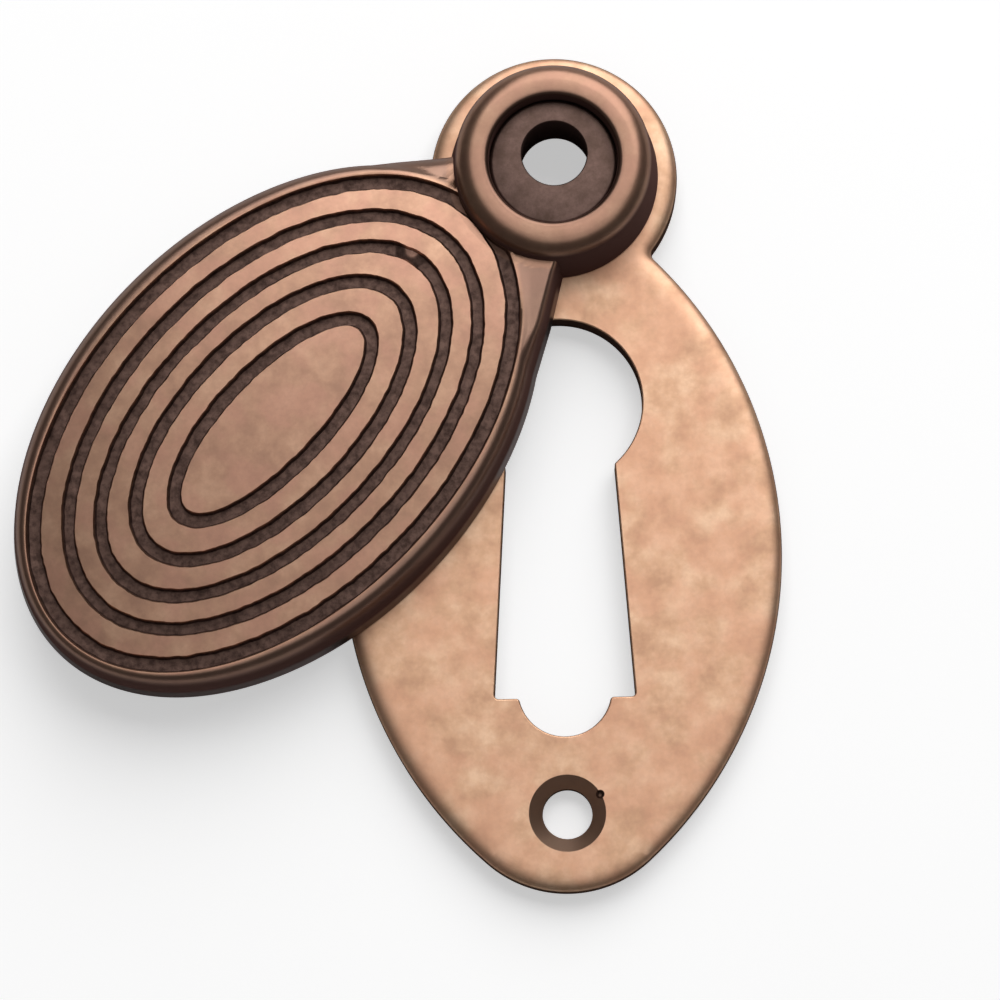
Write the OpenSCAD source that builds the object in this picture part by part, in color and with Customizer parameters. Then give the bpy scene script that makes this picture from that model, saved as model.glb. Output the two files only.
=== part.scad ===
// Covered keyhole escutcheon. An oval plate carries a keyhole, and a reeded oval cover swings over it
// on a hollow rivet at the top. The top fixing screw goes through the rivet, the other through the plate's foot.
// The origin is the middle of the top screw hole, on the plane of the plate's back.
// +X is right, +Y is up the plate and +Z comes out of its face. Lengths are in millimetres.

/* [Plate] */
// Thickness of the plate
plate_t = 2.5; // [2:0.1:3.5]
// Half of the oval's width, at its widest row
plate_half_w = 16.9; // [15:0.1:19]
// From the pivot down to the oval's widest row
waist_drop = 29.2; // [27:0.1:32]
// From the widest row down to the bottom tip
foot_drop = 26.3; // [24:0.1:29]
// Radius of the round bottom end
foot_r = 9.3; // [6:0.1:12]
// Radius of the round lobe about the pivot
lobe_r = 9.6; // [9:0.1:11]
// Radius of the soft front edge
plate_edge_r = 0.6; // [0.2:0.1:1]

/* [Keyhole] */
// Radius of the round upper part
key_r = 6.45; // [5:0.05:7]
// From the oval's widest row up to the middle of the round part
key_rise = 11.4; // [10:0.1:12]
// Half of the slot's width at its neck
neck_half_w = 4.2; // [3:0.1:4.6]
// Half of the slot's width at its shoulders
shoulder_half_w = 5.4; // [4.6:0.1:6]
// From the oval's widest row down to the shoulders
shoulder_fall = 11.5; // [9:0.1:13]
// Radius of the round pocket under the shoulders
pocket_r = 3.55; // [2.5:0.05:4.5]
// From the shoulders up to the middle of that pocket
pocket_rise = 0.6; // [0:0.1:1.5]

/* [Screw holes] */
// Radius of the top screw hole, through the rivet
top_hole_r = 2.5; // [2:0.05:2.7]
// How far the top screw hole is drilled above the pivot's axis
top_hole_lift = 0.75; // [0:0.05:1]
// Radius of the bottom screw hole
foot_hole_r = 1.88; // [1.5:0.02:2.2]
// Radius of the bottom hole's countersink, at the plate's face
foot_sink_r = 2.95; // [2.5:0.05:3.4]
// Depth of that countersink
foot_sink_t = 1.1; // [0.6:0.1:1.5]
// From the bottom tip up to the bottom screw hole
foot_hole_rise = 6; // [5:0.1:7]

/* [Cover] */
// Half of the cover's length, at its foot
cover_half_l = 24; // [22:0.1:26]
// Half of the cover's width, at its foot
cover_half_w = 16.2; // [14.5:0.1:18]
// From the pivot to the near end of the oval, inside the boss
cover_near = 5.2; // [3:0.1:6.5]
// How far the casting's oval is turned on its arm, in degrees
oval_turn = 3.3; // [-6:0.1:6]
// How far the cover hangs open, in degrees clockwise from straight down
cover_open = 47.9; // [0:0.1:180]
// Height of the cover's soft rim above its foot
rim_h = 4.3; // [3.8:0.1:5.5]
// Rise of the crowned face above the rim
crown_h = 1; // [0.5:0.1:1.5]
// Width of the soft rim
rim_w = 1.4; // [0.8:0.1:1.8]
// Height over which the soft rim rounds down into the wall
rim_fall = 2.9; // [1:0.1:3.4]
// How much further the foot of the cover's wall stands out than its top
wall_draft = 0.3; // [0:0.05:0.7]
// Depth of the grooves
groove_depth = 0.6; // [0.3:0.05:0.9]
// Thickness of the hollow cover's wall
cover_wall = 1.8; // [1.4:0.1:2.5]
// Thickness of the hollow cover's face, under the grooves
face_t = 1.5; // [1:0.1:2]

/* [Pivot boss] */
// Radius of the boss at its foot
boss_r = 8.1; // [7.6:0.1:8.6]
// Height of the boss above the cover's foot
boss_h = 6.1; // [5.6:0.1:7]
// Radius of the soft outer edge of the boss
boss_edge_r = 1.5; // [0.8:0.1:1.7]
// Radius of the recess in the boss
recess_r = 4.95; // [4.6:0.05:5.3]
// Radius of the soft edge of the recess
recess_edge_r = 0.4; // [0.2:0.1:0.6]
// Depth of the recess
recess_t = 2.7; // [2.2:0.1:3.2]
// Where the fairings between the oval and the boss meet the boss, in degrees to either side of the arm
fairing_boss_angle = 53.7; // [45:0.1:60]
// Where the right fairing leaves the oval's outline, in degrees from the oval's near end
fairing_right_angle = 57.6; // [45:0.1:62]
// Where the left fairing leaves it
fairing_left_angle = 40; // [34:0.1:46]
// Height of the fairings above the cover's foot
fairing_h = 3.9; // [3.5:0.1:4.2]
// Width of the soft top of the fairings
fairing_w = 2; // [1:0.1:2.5]

/* [Rivet] */
// Radius of the rivet's shank
shank_r = 4; // [3.7:0.05:4.2]
// Height of the closed head in the recess
head_h = 1.2; // [0.8:0.1:1.6]
// Radius of the soft edge of that head
head_edge_r = 0.25; // [0.1:0.05:0.4]
// How much wider the rivet's back end is than its shank
back_flare = 0.7; // [0.4:0.1:1]

/* [Fits] */
// Gap between the shank and the cover's bore, on the radius
running_gap = 0.05; // [0.02:0.01:0.08]
// Gap under the cover's foot, and under the closed head
lift_gap = 0.15; // [0.1:0.05:0.3]
// Gap between the closed head and the wall of the recess
head_gap = 0.2; // [0.1:0.05:0.3]

/* [Hidden] */
$fn = 96;
overrun = 1;

// The arc along each side of the oval touches the round foot and passes through the widest row
side_r = (pow(plate_half_w, 2) + pow(foot_drop, 2) - 2 * foot_drop * foot_r) / (2 * (plate_half_w - foot_r));
side_x = side_r - plate_half_w;
foot_y = foot_r - waist_drop - foot_drop;
// Where the side arcs run into the foot's arc, as a direction from the middle of the foot
foot_angle = atan2(waist_drop + foot_y, side_x);
// The foot is this much larger than one that only touches the side arcs, so that they cross
foot_lap = 0.0035 * foot_r;

// The grooves' inner and outer edges, as shares of the oval's half-length and half-width
groove_in_shares = [[0.392, 0.196], [0.534, 0.359], [0.665, 0.51], [0.776, 0.657], [0.895, 0.806]];
groove_out_shares = [[0.446, 0.274], [0.586, 0.435], [0.715, 0.579], [0.823, 0.73], [0.947, 0.886]];
// The fairings start just inside the oval's outline
fairing_start_share = 0.997;

// How far below the pivot these are: the keyhole's round part and shoulders, and the bottom screw hole
key_drop = waist_drop - key_rise;
shoulder_drop = waist_drop + shoulder_fall;
foot_hole_drop = waist_drop + foot_drop - foot_hole_rise;

// The cover's foot, the middle of its oval, and how much longer the oval is than it is wide
foot_z = plate_t + lift_gap;
cover_reach = cover_near + cover_half_l;
stretch = cover_half_l / cover_half_w;
// The floor of the recess and the underside of the closed head
recess_z = foot_z + boss_h - recess_t;
head_z = recess_z + lift_gap;

// Half of a disc's section, with its top edge rounded
module soft_disc_section(r, t, edge) {
    square([r - edge, t]);
    square([r, t - edge]);
    translate([r - edge, t - edge]) circle(edge);
}

module soft_disc(r) {
    rotate_extrude($fn = 180) soft_disc_section(r, plate_t, plate_edge_r);
}

// The two side arcs meet in a point below the foot, which is cut off before the round foot takes its place
module oval() {
    foot_top = foot_y + foot_r * sin(foot_angle);
    difference() {
        intersection() {
            translate([-side_x, -waist_drop]) soft_disc(side_r);
            translate([side_x, -waist_drop]) rotate(180) soft_disc(side_r);
        }
        translate([-plate_half_w, foot_top - 2 * plate_half_w, -overrun])
            cube([2 * plate_half_w, 2 * plate_half_w, plate_t + 2 * overrun]);
    }
    translate([0, foot_y]) rotate(90) soft_disc(foot_r + foot_lap);
}

module keyhole() {
    neck_drop = key_drop + sqrt(pow(key_r, 2) - pow(neck_half_w, 2));
    translate([0, 0, -overrun]) linear_extrude(plate_t + 2 * overrun) {
        translate([0, -key_drop]) circle(key_r);
        polygon([
            [-neck_half_w, -key_drop],
            [-neck_half_w, -neck_drop],
            [-shoulder_half_w, -shoulder_drop],
            [shoulder_half_w, -shoulder_drop],
            [neck_half_w, -neck_drop],
            [neck_half_w, -key_drop]
        ]);
        translate([0, pocket_rise - shoulder_drop]) circle(pocket_r);
    }
}

module back_plate() {
    color([0.84, 0.64, 0.52]) difference() {
        union() {
            rotate(90) soft_disc(lobe_r);
            oval();
        }
        keyhole();
        // The rivet's seat, opened out at the back
        translate([0, 0, -overrun]) cylinder(h = plate_t + 2 * overrun, r = shank_r);
        cylinder(h = back_flare, r1 = shank_r + back_flare, r2 = shank_r);
        // The bottom screw hole, countersunk from the face
        translate([0, -foot_hole_drop, -overrun]) cylinder(h = plate_t + 2 * overrun, r = foot_hole_r);
        translate([0, -foot_hole_drop, plate_t - foot_sink_t])
            cylinder(h = foot_sink_t, r1 = foot_hole_r, r2 = foot_sink_r);
    }
}

// Half of the section of a wall with a soft top: it leans in by its draft, then rounds over
module wall_section(half_w, h, soft_w) {
    polygon([
        [0, 0],
        [half_w, 0],
        [half_w - wall_draft, h - rim_fall],
        [0, h - rim_fall]
    ]);
    square([half_w - wall_draft - soft_w, h]);
    intersection() {
        translate([half_w - wall_draft - soft_w, h - rim_fall]) scale([soft_w, rim_fall]) circle(1);
        square([half_w, h]);
    }
}

// The same with the crowned face on it, as half of the section across the oval
module oval_section() {
    rim_x = cover_half_w - wall_draft - rim_w;
    crown_r = (pow(rim_x, 2) + pow(crown_h, 2)) / (2 * crown_h);
    intersection() {
        square([rim_x, rim_h + crown_h]);
        translate([0, rim_h + crown_h - crown_r]) circle(crown_r, $fn = 720);
    }
    wall_section(cover_half_w, rim_h, rim_w);
}

module cover_oval() {
    scale([1, stretch, 1]) rotate_extrude() oval_section();
}

module ring(shares_in, shares_out) {
    difference() {
        scale([cover_half_w * shares_out[1], cover_half_l * shares_out[0], rim_h + crown_h + overrun])
            cylinder(h = 1, r = 1);
        translate([0, 0, -overrun])
            scale([cover_half_w * shares_in[1], cover_half_l * shares_in[0], rim_h + crown_h + 3 * overrun])
                cylinder(h = 1, r = 1);
    }
}

// The grooves' floors follow the face and the rim at one depth
module grooves() {
    difference() {
        for (i = [0 : len(groove_in_shares) - 1]) ring(groove_in_shares[i], groove_out_shares[i]);
        translate([0, 0, -groove_depth]) cover_oval();
    }
}

module hollow() {
    difference() {
        translate([0, -cover_reach, 0]) rotate(oval_turn)
            translate([0, 0, -overrun])
                scale([cover_half_w - cover_wall, cover_half_l - cover_wall, rim_h - groove_depth - face_t + overrun])
                    cylinder(h = 1, r = 1);
        translate([0, 0, -2 * overrun]) cylinder(h = boss_h, r = boss_r);
    }
}

// A straight fairing from the oval's outline into the boss, on the side where its angles point
module fairing(boss_angle, oval_angle) {
    oval_x = cover_half_w * fairing_start_share * sin(oval_angle);
    oval_y = cover_half_l * fairing_start_share * cos(oval_angle);
    start_x = oval_x * cos(oval_turn) - oval_y * sin(oval_turn);
    start_y = oval_x * sin(oval_turn) + oval_y * cos(oval_turn) - cover_reach;
    run_x = boss_r * sin(boss_angle) - start_x;
    run_y = -boss_r * cos(boss_angle) - start_y;
    run = sqrt(pow(run_x, 2) + pow(run_y, 2)) + boss_edge_r;
    translate([start_x, start_y, 0]) rotate([90, 0, atan2(run_y, run_x) + 90]) linear_extrude(run)
        mirror([boss_angle > 0 ? 1 : 0, 0]) translate([-2 * fairing_w, 0])
            wall_section(2 * fairing_w, fairing_h, fairing_w);
}

module boss_section() {
    top_r = boss_r - wall_draft;
    soft_h = boss_h - boss_edge_r;
    difference() {
        union() {
            polygon([[0, 0], [boss_r, 0], [top_r, soft_h], [0, soft_h]]);
            square([top_r - boss_edge_r, boss_h]);
            translate([top_r - boss_edge_r, soft_h]) circle(boss_edge_r);
        }
        // The edge of the recess, rounded over
        translate([0, boss_h - recess_edge_r]) difference() {
            square([recess_r + recess_edge_r, recess_edge_r + overrun]);
            translate([recess_r + recess_edge_r, 0]) circle(recess_edge_r);
        }
    }
}

module cover() {
    color([0.6, 0.45, 0.37]) rotate(-cover_open) translate([0, 0, foot_z]) difference() {
        union() {
            difference() {
                union() {
                    translate([0, -cover_reach, 0]) rotate(oval_turn) cover_oval();
                    fairing(fairing_boss_angle, fairing_right_angle);
                    fairing(-fairing_boss_angle, -fairing_left_angle);
                }
                translate([0, -cover_reach, 0]) rotate(oval_turn) grooves();
                hollow();
            }
            rotate_extrude() boss_section();
        }
        translate([0, 0, -overrun]) cylinder(h = boss_h, r = shank_r + running_gap);
        translate([0, 0, boss_h - recess_t]) cylinder(h = recess_t + overrun, r = recess_r);
    }
}

module pivot_rivet() {
    head_r = recess_r - head_gap;
    color([0.42, 0.32, 0.28]) difference() {
        union() {
            cylinder(h = head_z + head_h / 2, r = shank_r);
            cylinder(h = back_flare, r1 = shank_r + back_flare, r2 = shank_r);
            translate([0, 0, head_z]) rotate_extrude() soft_disc_section(head_r, head_h, head_edge_r);
        }
        translate([0, top_hole_lift, -overrun]) cylinder(h = head_z + head_h + 2 * overrun, r = top_hole_r);
    }
}

// The pieces are drawn about the pivot's axis, so they move down by the lift of the top screw hole
translate([0, -top_hole_lift, 0]) back_plate();
translate([0, -top_hole_lift, 0]) cover();
translate([0, -top_hole_lift, 0]) pivot_rivet();
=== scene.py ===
# Covered keyhole escutcheon: an oval plate, a reeded oval cover that swings on it, and the hollow rivet
# that holds the two together. Lengths below are in millimetres times MM, in the model's own frame.
import math

import bmesh
import bpy
import numpy as np
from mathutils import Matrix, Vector, noise


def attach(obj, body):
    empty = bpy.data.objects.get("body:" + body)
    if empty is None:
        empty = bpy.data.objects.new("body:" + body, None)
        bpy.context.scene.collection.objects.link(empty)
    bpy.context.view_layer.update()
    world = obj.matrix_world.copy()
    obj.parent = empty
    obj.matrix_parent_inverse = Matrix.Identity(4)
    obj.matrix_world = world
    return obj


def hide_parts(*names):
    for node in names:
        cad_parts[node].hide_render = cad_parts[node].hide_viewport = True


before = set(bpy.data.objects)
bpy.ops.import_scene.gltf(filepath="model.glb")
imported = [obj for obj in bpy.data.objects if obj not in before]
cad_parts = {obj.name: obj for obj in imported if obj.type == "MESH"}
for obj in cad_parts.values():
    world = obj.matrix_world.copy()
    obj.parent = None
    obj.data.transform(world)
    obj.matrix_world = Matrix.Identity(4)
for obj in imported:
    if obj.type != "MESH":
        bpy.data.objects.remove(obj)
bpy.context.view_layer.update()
bpy.ops.object.select_all(action="DESELECT")

# The plate
# A flat plate of cast brass with a light copper finish, brushed by hand. Its front edge is rounded over,
# the keyhole and the screw hole are cut through it, and the rivet is closed in a seat behind the lobe.
MM = 0.001
PIVOT = Vector((0, -0.75 * MM, 0))
PLATE_T = 2.5 * MM
PLATE_HALF_W = 16.9 * MM
WAIST_Y = PIVOT.y - 29.2 * MM
TIP_Y = WAIST_Y - 26.3 * MM
FOOT_R = 9.3 * MM
LOBE_R = 9.6 * MM
CROTCH_R = 0.6 * MM
EDGE_W = 1.7 * MM
EDGE_FALL = 0.75 * MM
EDGE_BEND = 0.76
BACK_EDGE = 0.12 * MM
RIM_SOFT = 0.14 * MM
OVERRUN = 1 * MM
KEY_Y = PIVOT.y - 17.8 * MM
KEY_R = 6.45 * MM
NECK_HALF_W = 4.2 * MM
SHOULDER_Y = PIVOT.y - 40.7 * MM
SHOULDER_HALF_W = 5.4 * MM
CORNER_R = 0.3 * MM
POCKET_R = 3.55 * MM
POCKET_Y = SHOULDER_Y + 0.6 * MM
SEAT_R = 4 * MM
SEAT_FLARE = 0.7 * MM
FOOT_HOLE_Y = PIVOT.y - 49.5 * MM
FOOT_HOLE_R = 1.9 * MM
FOOT_SINK_R = 2.88 * MM
FOOT_SINK_T = 1.1 * MM
SINK_SOFT = 0.05 * MM


def arc_points(arcs, inset):
    """Points along a chain of arcs (x, y, radius, from, to, steps), moved in by inset on their left side."""
    points = []
    for x, y, r, start, end, steps in arcs:
        r += -inset if end > start else inset
        for k in range(steps + 1):
            t = start + (end - start) * k / steps
            points.append((x + r * math.cos(t), y + r * math.sin(t)))
    return points


def both_sides(arcs, inset):
    """The right half of an outline, from its lowest point to its highest, and its mirror image."""
    right = arc_points(arcs, inset)
    right[0], right[-1] = (0, right[0][1]), (0, right[-1][1])
    return right + [(-x, y) for x, y in right[-2:0:-1]]


def lofted(name, rows):
    """A closed solid through rows of (outline points, height), the lowest first."""
    bpy.ops.object.select_all(action="DESELECT")
    sides = len(rows[0][0])
    bpy.ops.mesh.primitive_circle_add(vertices=sides, radius=1, fill_type="NGON")
    piece = bpy.context.object
    piece.name = name
    bpy.ops.object.mode_set(mode="EDIT")
    bpy.ops.mesh.select_all(action="SELECT")
    bpy.ops.mesh.select_mode(type="EDGE")
    bpy.ops.mesh.region_to_loop()
    for _ in rows[1:]:
        bpy.ops.mesh.extrude_region_move(TRANSFORM_OT_translate={"value": (0, 0, 1)})
    bpy.ops.mesh.edge_face_add()
    bpy.ops.object.mode_set(mode="OBJECT")
    for vertex in piece.data.vertices:
        outline, z = rows[round(vertex.co.z)]
        x, y = outline[round(math.atan2(vertex.co.y, vertex.co.x) / math.tau * sides) % sides]
        vertex.co = (x, y, z)
    bpy.ops.object.mode_set(mode="EDIT")
    bpy.ops.mesh.select_all(action="SELECT")
    bpy.ops.mesh.normals_make_consistent(inside=False)
    bpy.ops.object.mode_set(mode="OBJECT")
    return piece


def spun(name, line, centre, steps=256):
    """Turns a closed half section, its points given as (radius, height), about an upright axis."""
    bpy.ops.object.select_all(action="DESELECT")
    bpy.ops.mesh.primitive_circle_add(vertices=len(line), radius=1)
    piece = bpy.context.object
    piece.name = name
    for vertex, (r, z) in zip(piece.data.vertices, line):
        vertex.co = (centre.x + r, centre.y, z)
    bpy.ops.object.mode_set(mode="EDIT")
    bpy.ops.mesh.select_all(action="SELECT")
    bpy.ops.mesh.spin(steps=steps, angle=2 * math.pi, center=centre, axis=(0, 0, 1))
    bpy.ops.mesh.select_all(action="SELECT")
    bpy.ops.mesh.remove_doubles(threshold=0.001 * MM)
    bpy.ops.mesh.normals_make_consistent(inside=False)
    bpy.ops.object.mode_set(mode="OBJECT")
    return piece


def join(piece, tool, how):
    """Adds the tool to the piece, or takes it away. The tool goes."""
    step = piece.modifiers.new(how.title(), "BOOLEAN")
    step.operation = how
    step.solver = "EXACT"
    step.object = tool
    bpy.context.view_layer.objects.active = piece
    bpy.ops.object.modifier_apply(modifier=step.name)
    bpy.data.objects.remove(tool)


def smoothed(piece, angle):
    """Smooth shading, but for edges sharper than the angle, with large faces kept flat."""
    bpy.ops.object.select_all(action="DESELECT")
    piece.select_set(True)
    bpy.context.view_layer.objects.active = piece
    bpy.ops.object.shade_smooth_by_angle(angle=math.radians(angle))
    step = piece.modifiers.new("Flat faces", "WEIGHTED_NORMAL")
    step.keep_sharp = True
    bpy.ops.object.modifier_apply(modifier=step.name)


def fillet(c1, r1, c2, r2, r, side):
    """The middle of a round that touches two discs from outside, on the given side of their line."""
    span = (c2 - c1).length
    along = ((r1 + r) ** 2 - (r2 + r) ** 2 + span**2) / (2 * span)
    across = math.sqrt((r1 + r) ** 2 - along**2)
    step = (c2 - c1).normalized()
    return c1 + step * along + Vector((-step.y, step.x)) * across * side


def heading(a, b):
    return math.atan2(b.y - a.y, b.x - a.x)


# The plate's outline: the foot, the side arc, the small fillet in the corner, and the lobe
side_r = (PLATE_HALF_W**2 + (WAIST_Y - TIP_Y) ** 2 - 2 * (WAIST_Y - TIP_Y) * FOOT_R) / (
    2 * (PLATE_HALF_W - FOOT_R))
side = Vector((PLATE_HALF_W - side_r, WAIST_Y))
foot = Vector((0, TIP_Y + FOOT_R))
lobe = Vector((0, PIVOT.y))
crotch = fillet(side, side_r, lobe, LOBE_R, CROTCH_R, -1)
QUARTER_TURN = math.pi / 2
plate_arcs = [
    (foot.x, foot.y, FOOT_R, -QUARTER_TURN, heading(side, foot), 40),
    (side.x, side.y, side_r, heading(side, foot), heading(side, crotch), 150),
    (crotch.x, crotch.y, CROTCH_R, heading(crotch, side), heading(crotch, lobe) - 4 * QUARTER_TURN, 10),
    (lobe.x, lobe.y, LOBE_R, heading(lobe, crotch), QUARTER_TURN, 120),
]
rounding = [math.radians(a) for a in range(0, 91, 10)]
plate_rows = [(both_sides(plate_arcs, BACK_EDGE), 0), (both_sides(plate_arcs, 0), BACK_EDGE)]
plate_rows += [(both_sides(plate_arcs, EDGE_W * (1 - math.cos(t) ** EDGE_BEND)),
                PLATE_T - EDGE_FALL * (1 - math.sin(t) ** EDGE_BEND)) for t in rounding]
plate_rows.append((both_sides(plate_arcs, EDGE_W + 0.15 * MM), PLATE_T))
plate = lofted("escutcheon_plate", plate_rows)

# The keyhole's outline: the pocket, the shoulder, the slanted side of the slot, the neck and the round part
POCKET = Vector((0, POCKET_Y))
ROUND = Vector((0, KEY_Y))
neck_y = KEY_Y - math.sqrt(KEY_R**2 - NECK_HALF_W**2)
lean = math.atan2(SHOULDER_HALF_W - NECK_HALF_W, neck_y - SHOULDER_Y)
pocket_corner = Vector((math.sqrt((POCKET_R + CORNER_R) ** 2 - (POCKET.y - SHOULDER_Y + CORNER_R) ** 2),
                        SHOULDER_Y - CORNER_R))
shoulder_y = SHOULDER_Y + CORNER_R
shoulder_x = SHOULDER_HALF_W - math.tan(lean) * CORNER_R - CORNER_R / math.cos(lean)
shoulder = Vector((shoulder_x, shoulder_y))


def neck_gap(y):
    """How far a round of the corner's size, touching the slot's side at height y, is from the round part."""
    x = NECK_HALF_W + math.tan(lean) * (neck_y - y) + CORNER_R / math.cos(lean)
    return (Vector((x, y)) - ROUND).length - KEY_R - CORNER_R, x


low, high = neck_y - 2 * MM, neck_y + MM
for _ in range(40):
    middle = (low + high) / 2
    low, high = (middle, high) if neck_gap(middle)[0] > 0 else (low, middle)
neck = Vector((neck_gap(low)[1], low))
key_arcs = [
    (POCKET.x, POCKET.y, POCKET_R, -QUARTER_TURN, heading(POCKET, pocket_corner), 40),
    (pocket_corner.x, pocket_corner.y, CORNER_R, heading(pocket_corner, POCKET), QUARTER_TURN, 8),
    (shoulder.x, shoulder.y, CORNER_R, -QUARTER_TURN, lean, 8),
    (neck.x, neck.y, CORNER_R, lean + 2 * QUARTER_TURN, heading(neck, ROUND), 8),
    (ROUND.x, ROUND.y, KEY_R, heading(ROUND, neck), QUARTER_TURN, 90),
]
key_rows = [(both_sides(key_arcs, 0), -OVERRUN)]
key_rows += [(both_sides(key_arcs, -RIM_SOFT * (1 - math.cos(t))), PLATE_T - RIM_SOFT * (1 - math.sin(t)))
             for t in rounding[::3]]
key_rows.append((both_sides(key_arcs, -RIM_SOFT), PLATE_T + OVERRUN))
join(plate, lofted("keyhole", key_rows), "DIFFERENCE")

# The rivet's seat, opened out at the back, and the countersunk screw hole with a nick in its edge
top = PLATE_T + OVERRUN
seat = [(0, -OVERRUN), (SEAT_R + SEAT_FLARE + OVERRUN, -OVERRUN), (SEAT_R, SEAT_FLARE), (SEAT_R, top), (0, top)]
join(plate, spun("seat", seat, PIVOT, 192), "DIFFERENCE")
sink_z = PLATE_T - FOOT_SINK_T
sink = [(0, -OVERRUN), (FOOT_HOLE_R, -OVERRUN), (FOOT_HOLE_R, sink_z), (FOOT_SINK_R, PLATE_T - SINK_SOFT),
        (FOOT_SINK_R + SINK_SOFT, PLATE_T), (FOOT_SINK_R + SINK_SOFT, top), (0, top)]
join(plate, spun("sink", sink, Vector((0, FOOT_HOLE_Y, 0)), 160), "DIFFERENCE")
NICK_TURN, NICK_R = math.radians(29), 0.3 * MM
nick_x, nick_y = FOOT_SINK_R * math.cos(NICK_TURN), FOOT_HOLE_Y + FOOT_SINK_R * math.sin(NICK_TURN)
bpy.ops.mesh.primitive_ico_sphere_add(subdivisions=3, radius=NICK_R, location=(nick_x, nick_y, PLATE_T))
nick = bpy.context.object
bpy.ops.object.transform_apply(location=True, rotation=True, scale=True)
join(plate, nick, "DIFFERENCE")
smoothed(plate, 32)


def nodes_of(material):
    """Clears the material's nodes and gives it one shader, ready to be wired."""
    material.use_nodes = True
    tree = material.node_tree
    tree.nodes.clear()
    out = tree.nodes.new("ShaderNodeOutputMaterial")
    shader = tree.nodes.new("ShaderNodeBsdfPrincipled")
    tree.links.new(shader.outputs["BSDF"], out.inputs["Surface"])
    return tree, shader


def mottle(tree, size, detail=3.0, rough=0.55, stretch=(1, 1, 1), turn=0.0, shift=0.0):
    """A cloudy pattern whose patches are about size across. Gives its value output."""
    place = tree.nodes.new("ShaderNodeTexCoord")
    mapping = tree.nodes.new("ShaderNodeMapping")
    mapping.inputs["Location"].default_value = (shift, shift, shift)
    mapping.inputs["Rotation"].default_value = (0, 0, turn)
    mapping.inputs["Scale"].default_value = stretch
    cloud = tree.nodes.new("ShaderNodeTexNoise")
    cloud.inputs["Scale"].default_value = 1 / size
    cloud.inputs["Detail"].default_value = detail
    cloud.inputs["Roughness"].default_value = rough
    tree.links.new(place.outputs["Object"], mapping.inputs["Vector"])
    tree.links.new(mapping.outputs["Vector"], cloud.inputs["Vector"])
    return cloud.outputs["Fac"]


def graded(tree, value, stops):
    """Turns a value into a colour by the given stops."""
    ramp = tree.nodes.new("ShaderNodeValToRGB")
    band = ramp.color_ramp
    while len(band.elements) < len(stops):
        band.elements.new(0.5)
    for element, (at, colour) in zip(band.elements, stops):
        element.position = at
        element.color = (*colour, 1)
    tree.links.new(value, ramp.inputs["Fac"])
    return ramp.outputs["Color"]


def spread(tree, value, low_in, high_in, low_out, high_out):
    """Spreads a value evenly from one range to another, and holds it there."""
    step = tree.nodes.new("ShaderNodeMapRange")
    for name, number in (("From Min", low_in), ("From Max", high_in), ("To Min", low_out), ("To Max", high_out)):
        step.inputs[name].default_value = number
    step.interpolation_type = "SMOOTHSTEP"
    tree.links.new(value, step.inputs["Value"])
    return step.outputs["Result"]


def blended(tree, share, first, second, kind="MIX"):
    """Mixes two colours, each one a colour or an output, by a share."""
    mix = tree.nodes.new("ShaderNodeMix")
    mix.data_type = "RGBA"
    mix.blend_type = kind
    for socket, given in ((mix.inputs[0], share), (mix.inputs[6], first), (mix.inputs[7], second)):
        if isinstance(given, bpy.types.NodeSocket):
            tree.links.new(given, socket)
        else:
            socket.default_value = given if isinstance(given, (int, float)) else (*given, 1)
    return mix.outputs[2]


def summed(tree, kind, *values):
    """Adds, multiplies, or takes the largest of, values or outputs."""
    total = values[0]
    for value in values[1:]:
        step = tree.nodes.new("ShaderNodeMath")
        step.operation = kind
        for socket, given in zip(step.inputs, (total, value)):
            if isinstance(given, bpy.types.NodeSocket):
                tree.links.new(given, socket)
            else:
                socket.default_value = given
        total = step.outputs[0]
    return total


def uprightness(tree, upright=0.1, flat=0.5):
    """1 where the surface stands upright, 0 where it lies flat, by the height of its unit normal."""
    facing = tree.nodes.new("ShaderNodeNewGeometry")
    parts = tree.nodes.new("ShaderNodeSeparateXYZ")
    tree.links.new(facing.outputs["Normal"], parts.inputs[0])
    return spread(tree, summed(tree, "ABSOLUTE", parts.outputs["Z"], 0), upright, flat, 1, 0)


def ring_mask(tree, centre, inner, outer):
    """1 within the inner radius about an upright axis, falling to 0 at the outer one."""
    place = tree.nodes.new("ShaderNodeTexCoord")
    mapping = tree.nodes.new("ShaderNodeMapping")
    mapping.inputs["Location"].default_value = (-centre[0], -centre[1], 0)
    mapping.inputs["Scale"].default_value = (1, 1, 0)
    size = tree.nodes.new("ShaderNodeVectorMath")
    size.operation = "LENGTH"
    tree.links.new(place.outputs["Object"], mapping.inputs["Vector"])
    tree.links.new(mapping.outputs["Vector"], size.inputs[0])
    return spread(tree, size.outputs["Value"], inner, outer, 1, 0)


def roughened(tree, shader, height, depth, strength):
    """A fine bump on the shader, from a height value."""
    bump = tree.nodes.new("ShaderNodeBump")
    bump.inputs["Distance"].default_value = depth
    bump.inputs["Strength"].default_value = strength
    tree.links.new(height, bump.inputs["Height"])
    tree.links.new(bump.outputs["Normal"], shader.inputs["Normal"])


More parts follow.
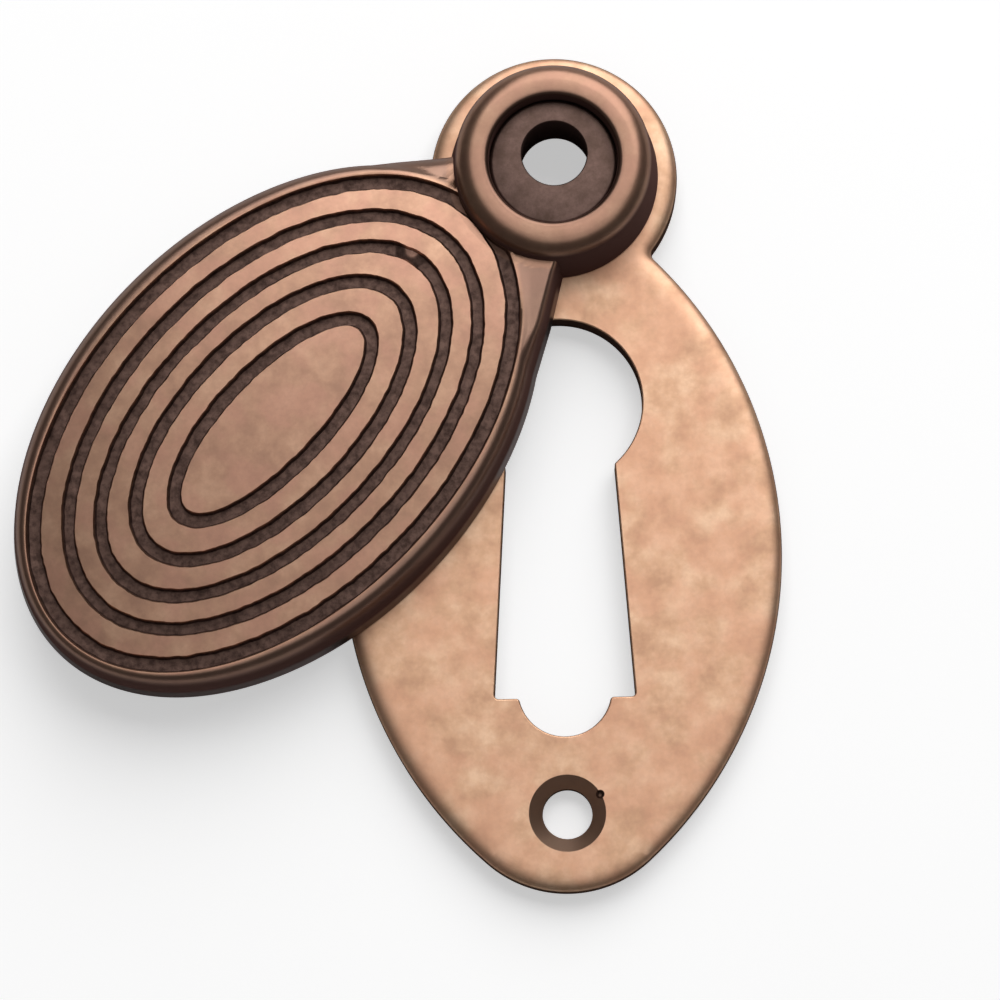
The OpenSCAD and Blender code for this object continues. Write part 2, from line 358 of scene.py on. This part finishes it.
light_copper = bpy.data.materials.new("light_copper")
tree, shader = nodes_of(light_copper)
patches = mottle(tree, 2.6 * MM, 4, 0.6)
warmth = mottle(tree, 3.4 * MM, 3, 0.5, shift=0.02)
speckle = mottle(tree, 0.45 * MM, 3, 0.6, shift=0.05)
copper = graded(tree, patches, [
    (0.33, (0.61, 0.355, 0.225)), (0.48, (0.72, 0.44, 0.28)), (0.66, (0.84, 0.56, 0.375)),
])
copper = blended(tree, spread(tree, warmth, 0.4, 0.62, 0, 0.5), copper, (0.76, 0.41, 0.27))
copper = blended(tree, spread(tree, speckle, 0.35, 0.7, 0, 0.16), copper, (0.5, 0.28, 0.2))
# Painted shade: the countersink is coloured a darker, greyer copper than the plate.
sink_shade = ring_mask(tree, (0, FOOT_HOLE_Y), FOOT_SINK_R, FOOT_SINK_R + 0.1 * MM)
copper = blended(tree, sink_shade, copper, (0.4, 0.27, 0.2))
# Painted shade: the nick in the countersink's edge is coloured nearly black.
copper = blended(tree, ring_mask(tree, (nick_x, nick_y), NICK_R, 1.2 * NICK_R), copper, (0.1, 0.06, 0.045))
# Painted shade: steep faces, the rounded edge and the walls of the holes, are coloured nearly black and are not
# metal.
wall_shade = uprightness(tree, 0.3, 0.72)
tree.links.new(blended(tree, wall_shade, copper, (0.09, 0.05, 0.037)), shader.inputs["Base Color"])
tree.links.new(spread(tree, wall_shade, 0, 1, 1, 0), shader.inputs["Metallic"])
shader.inputs["Specular IOR Level"].default_value = 0
tree.links.new(spread(tree, patches, 0.3, 0.7, 0.48, 0.42), shader.inputs["Roughness"])
roughened(tree, shader, speckle, 0.02 * MM, 0.25)
plate.data.materials.clear()
plate.data.materials.append(light_copper)
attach(plate, "plate")
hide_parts("back_plate")

# The cover
# One brass casting with a dark copper finish: a hollow-backed oval with five grooves round it, crowned a
# little, and a round boss on its end that turns on the rivet. Its lands are rubbed bright, its grooves dark.
HALF_L = 24 * MM
HALF_W = 16.2 * MM
REACH = 29.2 * MM
HANG = math.radians(-90 - 47.9)
LONG_AXIS = math.radians(90 - 47.9 + 3.3)
FOOT_Z = 2.65 * MM
RIM_H = 4.3 * MM
CROWN_H = 1 * MM
RIM_W = 1.3 * MM
RIM_BEND = 2.1
WALL_H = 1.4 * MM
DRAFT = 0.3 * MM
GROOVE_T = 0.6 * MM
WALL = 1.8 * MM
CEILING_H = 2.2 * MM
GROOVE_IN = [(0.392, 0.196), (0.534, 0.359), (0.665, 0.51), (0.776, 0.657), (0.895, 0.806)]
GROOVE_OUT = [(0.446, 0.274), (0.586, 0.435), (0.715, 0.579), (0.823, 0.73), (0.947, 0.886)]
LIP = 0.1 * MM
# The straight fairings into the boss, right and left: the way each faces when the arm hangs down, how far its
# line passes from the pivot, where it leaves the oval, how much it draws in at the boss, its height and its roll
FAIRINGS = [(math.radians(30.4), 3.2 * MM, math.radians(57.6), 0.35 * MM, 4.25 * MM, 0.8 * MM),
            (math.radians(143.6), 2.4 * MM, math.radians(40), 0.15 * MM, 3.9 * MM, 2 * MM)]
ROLL_IN_BOSS = 0.8 * MM
SOFT_JOIN = 0.1 * MM
BOSS_R = 8.1 * MM
BOSS_DRAFT = 0.5 * MM
BOSS_H = 6.1 * MM
BOSS_EDGE_R = 1.5 * MM
RECESS_R = 4.95 * MM
RECESS_EDGE_R = 0.4 * MM
RECESS_T = 2.7 * MM
BORE_R = 4.05 * MM
# A spot where the metal was left standing across the third groove
FLAW = Vector((-10.94, -6.62)) * MM
FLAW_R = 0.65 * MM
SEGMENTS = 640

rim_x = HALF_W - DRAFT - RIM_W
centre = Vector((PIVOT.x + REACH * math.cos(HANG), PIVOT.y + REACH * math.sin(HANG), 0))


def on_oval(x, y):
    """From the model's frame to the oval's own: along its long axis, and across it."""
    x, y = x - centre.x, y - centre.y
    return (x * math.cos(LONG_AXIS) + y * math.sin(LONG_AXIS), y * math.cos(LONG_AXIS) - x * math.sin(LONG_AXIS))


def crowned(share):
    """Height of the crowned face at that share of the way from middle to edge."""
    return RIM_H + CROWN_H * (1 - np.minimum(share * HALF_W / rim_x, 1) ** 2)


def rolled(inside, width, height):
    """Height of a soft rim, at that distance inside its wall."""
    fall = np.clip(1 - np.clip(1 - inside / width, 0, 1) ** RIM_BEND, 0, 1) ** (1 / RIM_BEND)
    return WALL_H + (height - WALL_H) * np.where(inside < width, fall, 1)


# Rows of the face, from the middle out: half-length, half-width, depth below the crown, and unevenness
rows = [(HALF_L * GROOVE_IN[0][0] * k, HALF_W * GROOVE_IN[0][1] * k, 0, 0) for k in (0.06, 0.3, 0.55, 0.8)]
for number, (inner, outer) in enumerate(zip(GROOVE_IN, GROOVE_OUT)):
    a0, b0 = HALF_L * inner[0], HALF_W * inner[1]
    a1, b1 = HALF_L * outer[0], HALF_W * outer[1]
    rows += [(a0, b0, 0, 1), (a0 + 0.5 * LIP, b0 + 0.5 * LIP, 0.09, 1), (a0 + 2.1 * LIP, b0 + 2.1 * LIP, 1, 1)]
    for k in (0.3, 0.4, 0.5, 0.6, 0.7):
        rows.append((a0 + (a1 - a0) * k, b0 + (b1 - b0) * k, 1, 0.5))
    calm = 0 if number == 4 else 1
    rows += [(a1 - 2.1 * LIP, b1 - 2.1 * LIP, 1, 1), (a1 - 0.5 * LIP, b1 - 0.5 * LIP, 0.09, 0.3 + 0.7 * calm),
             (a1, b1, 0, calm)]
    if number < 4:
        a2, b2 = HALF_L * GROOVE_IN[number + 1][0], HALF_W * GROOVE_IN[number + 1][1]
        for k in (0.3, 0.5, 0.7):
            rows.append((a1 + (a2 - a1) * k, b1 + (b2 - b1) * k, 0, 0))
face_rows = len(rows)
land_steps = [0.15, 0.3, 0.5, 0.7, 0.87]
rim_steps = [1 - math.sin(math.radians(t)) for t in (0, 11, 22, 33, 44, 55, 65, 74, 82, 90)]
# The wall below the rim, as (distance out from its top, height), and the edge of its foot
wall_steps = [(0.5, 0.75 * MM), (1, 0.12 * MM), (0.65, 0)]
row_count = face_rows + len(land_steps) + len(rim_steps) + len(wall_steps) + 2

bpy.ops.object.select_all(action="DESELECT")
bpy.ops.mesh.primitive_circle_add(vertices=SEGMENTS, radius=1, fill_type="NGON")
cover = bpy.context.object
cover.name = "reeded_cover"
bpy.ops.object.mode_set(mode="EDIT")
bpy.ops.mesh.select_all(action="SELECT")
bpy.ops.mesh.select_mode(type="EDGE")
bpy.ops.mesh.region_to_loop()
for _ in range(row_count - 1):
    bpy.ops.mesh.extrude_region_move(TRANSFORM_OT_translate={"value": (0, 0, 1)})
bpy.ops.mesh.edge_face_add()
bpy.ops.object.mode_set(mode="OBJECT")

count = len(cover.data.vertices)
xyz = np.zeros(count * 3)
cover.data.vertices.foreach_get("co", xyz)
xyz = xyz.reshape(-1, 3)
row_of = np.rint(xyz[:, 2]).astype(int)
turn = np.arctan2(xyz[:, 1], xyz[:, 0])
cos, sin = np.cos(turn), np.sin(turn)

# Where the outline lies in each direction: on the oval, or on the fairing where that stands out further
pivot_u, pivot_v = on_oval(PIVOT.x, PIVOT.y)
reach_share = np.ones(count)
fair_h, fair_w = np.full(count, RIM_H), np.full(count, RIM_W)
for faces, miss, leaves, draw, height, roll in FAIRINGS:
    normal = faces + HANG + QUARTER_TURN - LONG_AXIS
    nu, nv = math.cos(normal), math.sin(normal)
    du, dv = HALF_L * cos, HALF_W * sin
    line = (pivot_u * nu + pivot_v * nv + miss) / np.maximum(du * nu + dv * nv, 0.1 * MM)
    # It stops inside the boss, clear of the recess
    b = du * pivot_u + dv * pivot_v
    root = b * b - (du * du + dv * dv) * (pivot_u**2 + pivot_v**2 - (BOSS_R - 2.2 * MM) ** 2)
    stop = np.where((root > 0) & (b > 0), (b - np.sqrt(np.maximum(root, 0))) / (du * du + dv * dv), 9)
    far = np.hypot(du * line - pivot_u, dv * line - pivot_v)
    line -= draw / np.hypot(du, dv) * np.clip((BOSS_R + 4 * MM - far) / (4 * MM), 0, 1)
    ends = np.minimum(line, stop)
    facing = (du * nu + dv * nv > 0) & (dv * nv > 0) & (np.abs(turn) < leaves) & (ends < 1.3)
    reach_share = np.where(facing, np.maximum(reach_share, ends), reach_share)
    fair_h = np.where(facing, height, fair_h)
    fair_w = np.where(facing, np.where(stop < line, ROLL_IN_BOSS, roll), fair_w)

inner_u, inner_v = rows[-1][0] * cos, rows[-1][1] * sin
outer_u, outer_v = HALF_L * reach_share * cos, HALF_W * reach_share * sin
width = np.hypot(outer_u - inner_u, outer_v - inner_v)
dir_u, dir_v = (outer_u - inner_u) / width, (outer_v - inner_v) / width
# Distances out along that way, to the top of the wall and to the plain oval's own
wall_at = width - DRAFT
oval_at = np.hypot(HALF_L * cos - inner_u, HALF_W * sin - inner_v) - DRAFT
soft = np.minimum(RIM_W, 0.92 * oval_at)
# A fairing starts with the oval's own rim
blend_in = np.clip((reach_share - 1) / 0.03, 0, 1)
fair_soft = np.minimum(RIM_W + (fair_w - RIM_W) * blend_in, 0.92 * wall_at)

for row in range(row_count):
    at = row_of == row
    c, s = cos[at], sin[at]
    if row < face_rows:
        half_l, half_w, depth, ragged = rows[row]
        u, v = half_l * c, half_w * s
        z = np.full(len(u), float(depth))
        if ragged:
            for k in range(len(u)):
                swing = noise.noise(Vector((u[k], v[k], 0)) * (1 / (1.3 * MM)))
                swing += 0.6 * noise.noise(Vector((u[k], v[k], MM)) * (1 / (0.5 * MM)))
                z[k] -= 0.09 * depth * noise.noise(Vector((u[k], v[k], 2 * MM)) * (1 / (0.8 * MM)))
                shift = 1 + 0.08 * MM * ragged * max(-1, min(swing, 1)) / math.hypot(u[k], v[k])
                u[k], v[k] = u[k] * shift, v[k] * shift
        flaw_u, flaw_v = on_oval(FLAW.x, FLAW.y + PIVOT.y)
        away = np.hypot(u - flaw_u, v - flaw_v) / FLAW_R
        z *= 1 - (0.65 if depth == 1 else 0) * np.clip((2 - away) / 1.2, 0, 1)
        z = crowned(np.hypot(u / HALF_L, v / HALF_W)) - z * GROOVE_T
    elif row < row_count - 2 - len(wall_steps):
        step = row - face_rows
        flat = np.maximum(wall_at[at] - soft[at], 0)
        if step < len(land_steps):
            out = flat * land_steps[step]
        else:
            out = wall_at[at] - np.minimum(soft[at], wall_at[at]) * rim_steps[step - len(land_steps)]
        u, v = inner_u[at] + dir_u[at] * out, inner_v[at] + dir_v[at] * out
        own = np.where(out < oval_at[at], rolled(oval_at[at] - out, soft[at], RIM_H), 0)
        own = np.where(oval_at[at] - out > soft[at], crowned(np.hypot(u / HALF_L, v / HALF_W)), own)
        fair = rolled(wall_at[at] - out, fair_soft[at], fair_h[at])
        both = SOFT_JOIN * np.logaddexp(own / SOFT_JOIN, fair / SOFT_JOIN)
        higher = np.maximum(own, fair)
        z = np.where(reach_share[at] > 1, higher + (both - higher) * blend_in[at], own)
        z = np.maximum(z, WALL_H)
    elif row < row_count - 2:
        share_out, height = wall_steps[row - (row_count - 2 - len(wall_steps))]
        out = wall_at[at] + DRAFT * share_out
        u, v = inner_u[at] + dir_u[at] * out, inner_v[at] + dir_v[at] * out
        z = np.full(len(u), height)
    else:
        u, v = (HALF_L - WALL) * c, (HALF_W - WALL) * s
        z = np.full(len(u), 0 if row == row_count - 2 else CEILING_H)
    xyz[at] = np.stack([u, v, z + FOOT_Z], axis=1)
cover.data.vertices.foreach_set("co", xyz.ravel())
cover.data.update()
cover.location = centre
cover.rotation_euler = (0, 0, LONG_AXIS)
bpy.ops.object.transform_apply(location=True, rotation=True, scale=True)

# The boss, turned from half of its section
boss_side = BOSS_R - BOSS_DRAFT
recess_round = RECESS_R + RECESS_EDGE_R
boss_line = [(BORE_R, 0), (BOSS_R - 0.08 * MM, 0), (BOSS_R, 0.08 * MM)]
boss_line += [(boss_side - BOSS_EDGE_R * (1 - math.cos(t)), BOSS_H - BOSS_EDGE_R * (1 - math.sin(t)))
              for t in rounding]
boss_line += [(recess_round - RECESS_EDGE_R * math.sin(t), BOSS_H - RECESS_EDGE_R * (1 - math.cos(t)))
              for t in rounding]
boss_line += [(RECESS_R, BOSS_H - RECESS_T), (BORE_R, BOSS_H - RECESS_T)]
boss = spun("boss", [(r, z + FOOT_Z) for r, z in boss_line], PIVOT)
bpy.ops.object.select_all(action="DESELECT")
cover.select_set(True)
bpy.context.view_layer.objects.active = cover
bpy.ops.object.mode_set(mode="EDIT")
bpy.ops.mesh.select_all(action="SELECT")
bpy.ops.mesh.normals_make_consistent(inside=False)
bpy.ops.object.mode_set(mode="OBJECT")
join(cover, boss, "UNION")
smoothed(cover, 36)

# How deep each point lies below the crowned face, as a share of the grooves' depth, for the dark finish
count = len(cover.data.vertices)
xyz = np.zeros(count * 3)
cover.data.vertices.foreach_get("co", xyz)
xyz = xyz.reshape(-1, 3)
u, v = on_oval(xyz[:, 0], xyz[:, 1])
below = (crowned(np.hypot(u / HALF_L, v / HALF_W)) + FOOT_Z - xyz[:, 2]) / GROOVE_T
beyond = np.hypot(u / rows[-1][0], v / rows[-1][1]) > 1
# The rim and the fairings beyond the grooves are coloured a little darker than the lands: painted shade
rim_shade = np.clip((np.hypot(u / rows[-1][0], v / rows[-1][1]) - 1) / 0.02, 0, 1)
rim_shade = np.where(np.hypot(xyz[:, 0] - PIVOT.x, xyz[:, 1] - PIVOT.y) < BOSS_R + 0.1 * MM, 0, rim_shade)
outer = cover.data.attributes.new("outer", "FLOAT", "POINT")
outer.data.foreach_set("value", rim_shade.astype(np.float32))
sunk = cover.data.attributes.new("sunk", "FLOAT", "POINT")
sunk.data.foreach_set("value", np.clip(np.where(beyond, 0, below), 0, 1).astype(np.float32))

dark_copper = bpy.data.materials.new("dark_copper")
tree, shader = nodes_of(dark_copper)
patches = mottle(tree, 2.2 * MM, 4, 0.6)
warmth = mottle(tree, 3 * MM, 3, 0.5, shift=0.03)
speckle = mottle(tree, 0.4 * MM, 3, 0.6, shift=0.06)
grit = mottle(tree, 0.5 * MM, 4, 0.65, shift=0.09)
land = graded(tree, patches, [
    (0.33, (0.35, 0.2, 0.138)), (0.5, (0.43, 0.25, 0.168)), (0.68, (0.51, 0.31, 0.21)),
])
land = blended(tree, spread(tree, warmth, 0.42, 0.62, 0, 0.5), land, (0.46, 0.24, 0.175))
land = blended(tree, spread(tree, speckle, 0.35, 0.7, 0, 0.2), land, (0.29, 0.17, 0.12))
floor_dark = graded(tree, grit, [(0.35, (0.075, 0.045, 0.037)), (0.62, (0.17, 0.105, 0.085))])
depth = tree.nodes.new("ShaderNodeAttribute")
depth.attribute_name = "sunk"
in_groove = spread(tree, depth.outputs["Fac"], 0.08, 0.5, 0, 1)
finish = blended(tree, in_groove, land, floor_dark)
rim = tree.nodes.new("ShaderNodeAttribute")
rim.attribute_name = "outer"
# Painted shade on the rim and the fairings beyond the grooves.
finish = blended(tree, spread(tree, rim.outputs["Fac"], 0, 1, 0, 0.7), finish, (0.25, 0.155, 0.12))
on_boss = spread(tree, ring_mask(tree, PIVOT, BOSS_R + 0.05 * MM, BOSS_R + 0.2 * MM), 0, 1, 0, 0.45)
finish = blended(tree, on_boss, finish, (0.3, 0.17, 0.12))
recess = ring_mask(tree, PIVOT, RECESS_R - 0.1 * MM, RECESS_R + 0.65 * MM)
# Painted shade: steep faces beyond the grooves, the boss's wall, the recess wall and the oval's wall, are
# coloured dark and are not metal.
wall_shade = summed(tree, "MULTIPLY", uprightness(tree, 0.22, 0.62), spread(tree, depth.outputs["Fac"], 0, 0.4, 1, 0))
finish = blended(tree, recess, finish, (0.13, 0.075, 0.058))
# The foot of the oval's wall is coloured a greyer brown and made fully metal, so that it mirrors what the part
# lies on as a grey band: a painted reflection
place = tree.nodes.new("ShaderNodeTexCoord")
parts = tree.nodes.new("ShaderNodeSeparateXYZ")
tree.links.new(place.outputs["Object"], parts.inputs[0])
foot_reflection = summed(tree, "MULTIPLY", spread(tree, parts.outputs["Z"], FOOT_Z + 0.8 * MM, FOOT_Z + 1.5 * MM, 1, 0),
              spread(tree, ring_mask(tree, PIVOT, BOSS_R + 0.5 * MM, BOSS_R + 2 * MM), 0, 1, 1, 0))
finish = blended(tree, wall_shade, finish, (0.15, 0.08, 0.068))
tree.links.new(blended(tree, foot_reflection, finish, (0.17, 0.12, 0.11)), shader.inputs["Base Color"])
tree.links.new(summed(tree, "MAXIMUM", spread(tree, wall_shade, 0, 1, 1, 0), foot_reflection), shader.inputs["Metallic"])
shader.inputs["Specular IOR Level"].default_value = 0
rough = spread(tree, in_groove, 0, 1, 0.34, 0.6)
tree.links.new(rough, shader.inputs["Roughness"])
roughened(tree, shader, grit, 0.02 * MM, 0.3)
cover.data.materials.clear()
cover.data.materials.append(dark_copper)
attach(cover, "cover")
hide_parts("cover")

# The rivet
# A hollow brass rivet with a dull brown finish. It is closed at the back in the plate and at the front over
# the cover's boss, and the top screw goes through its bore, which is drilled a little off its middle.
SHANK_R = 4 * MM
HEAD_R = 4.87 * MM
HEAD_Z = 6.2 * MM
HEAD_H = 1.2 * MM
HEAD_EDGE_R = 0.25 * MM
BACK_FLARE = 0.7 * MM
# The middle and radius of the bore at the back and at the front
BORE_BACK, BORE_BACK_R = (0.125 * MM, 0.17 * MM), 2.74 * MM
BORE_FRONT, BORE_FRONT_R = (0.085 * MM, -0.06 * MM), 2.5 * MM
BORE_SOFT = 0.08 * MM

rivet_line = [(0, 0), (SHANK_R + BACK_FLARE, 0), (SHANK_R, BACK_FLARE), (SHANK_R, HEAD_Z), (HEAD_R, HEAD_Z)]
rivet_line += [(HEAD_R - HEAD_EDGE_R * (1 - math.cos(t)), HEAD_Z + HEAD_H - HEAD_EDGE_R * (1 - math.sin(t)))
               for t in rounding[::3]]
rivet_line += [(0, HEAD_Z + HEAD_H)]
rivet = spun("hollow_rivet", rivet_line, PIVOT, 192)
# The bore leans and narrows towards the front
bore_rows = []
for z, wider in ((-OVERRUN, 0), (HEAD_Z + HEAD_H - BORE_SOFT, 0), (HEAD_Z + HEAD_H, BORE_SOFT),
                 (HEAD_Z + HEAD_H + OVERRUN, BORE_SOFT)):
    k = z / (HEAD_Z + HEAD_H)
    x, y = BORE_BACK[0] + (BORE_FRONT[0] - BORE_BACK[0]) * k, BORE_BACK[1] + (BORE_FRONT[1] - BORE_BACK[1]) * k
    r = BORE_BACK_R + (BORE_FRONT_R - BORE_BACK_R) * k
    bore_rows.append((arc_points([(x, y, r + wider, 0, math.tau * 127 / 128, 127)], 0), z))
join(rivet, lofted("bore", bore_rows), "DIFFERENCE")
smoothed(rivet, 35)

dull_bronze = bpy.data.materials.new("dull_bronze")
tree, shader = nodes_of(dull_bronze)
patches = mottle(tree, 1.5 * MM, 4, 0.6, shift=0.01)
grit = mottle(tree, 0.25 * MM, 3, 0.65, shift=0.04)
bronze = graded(tree, patches, [(0.35, (0.12, 0.075, 0.06)), (0.65, (0.19, 0.12, 0.1))])
bronze = blended(tree, spread(tree, grit, 0.35, 0.7, 0, 0.3), bronze, (0.09, 0.055, 0.045))
# Painted shade: steep faces, the bore's wall and the head's edge, are coloured a flat dull brown and are not
# metal.
wall_shade = uprightness(tree)
tree.links.new(blended(tree, wall_shade, bronze, (0.13, 0.085, 0.075)), shader.inputs["Base Color"])
tree.links.new(spread(tree, wall_shade, 0, 1, 1, 0), shader.inputs["Metallic"])
shader.inputs["Specular IOR Level"].default_value = 0
shader.inputs["Roughness"].default_value = 0.5
roughened(tree, shader, grit, 0.02 * MM, 0.3)
rivet.data.materials.clear()
rivet.data.materials.append(dull_bronze)
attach(rivet, "plate")
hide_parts("pivot_rivet")

# The table, the light and the camera
# A plain white table under two soft overhead lamps, seen from almost straight above.
TABLE_GLOW = 0.5
bpy.ops.mesh.primitive_plane_add(size=3, location=(0, 0, -0.02 * MM))
table = bpy.context.object
table.name = "table"
white = bpy.data.materials.new("white_table")
tree, shader = nodes_of(white)
shader.inputs["Base Color"].default_value = (0.92, 0.92, 0.92, 1)
shader.inputs["Roughness"].default_value = 0.9
shader.inputs["Specular IOR Level"].default_value = 0.1
glow = tree.nodes.new("ShaderNodeEmission")
seen = tree.nodes.new("ShaderNodeLightPath")
tree.links.new(summed(tree, "MULTIPLY", seen.outputs["Is Camera Ray"], TABLE_GLOW), glow.inputs["Strength"])
both = tree.nodes.new("ShaderNodeAddShader")
out = next(n for n in tree.nodes if n.type == "OUTPUT_MATERIAL")
tree.links.new(shader.outputs["BSDF"], both.inputs[0])
tree.links.new(glow.outputs["Emission"], both.inputs[1])
tree.links.new(both.outputs["Shader"], out.inputs["Surface"])
table.data.materials.append(white)

world = bpy.data.worlds.new("room")
bpy.context.scene.world = world
world.use_nodes = True
world.node_tree.nodes["Background"].inputs["Color"].default_value = (1, 1, 1, 1)
world.node_tree.nodes["Background"].inputs["Strength"].default_value = 0.1

for name, place, wide, deep, power, on_table in (
    ("key_softbox", (0.2, 0.72, 0.72), 1.1, 1.1, 9.2, True),
    ("overhead_softbox", (0.08, 0.0, 1), 0.9, 0.72, 1.7, False),
):
    bpy.ops.object.light_add(type="AREA", location=place)
    lamp = bpy.context.object
    lamp.name = name
    lamp.data.shape = "RECTANGLE"
    lamp.data.size = wide
    lamp.data.size_y = deep
    lamp.data.energy = power
    lamp.visible_diffuse = on_table
    lamp.rotation_euler = (Vector(place) - Vector((0, -0.03, 0))).to_track_quat("Z", "Y").to_euler()

bpy.ops.object.camera_add(
    location=(0.466 * MM, -71.091 * MM, 296.504 * MM),
    rotation=(math.radians(8.678), math.radians(1.167), math.radians(-1.095)),
)
camera = bpy.context.object
camera.data.lens = 139.32
camera.data.sensor_width = 36
camera.data.clip_start = 0.01
bpy.context.scene.camera = camera
bpy.context.scene.view_settings.view_transform = "Standard"
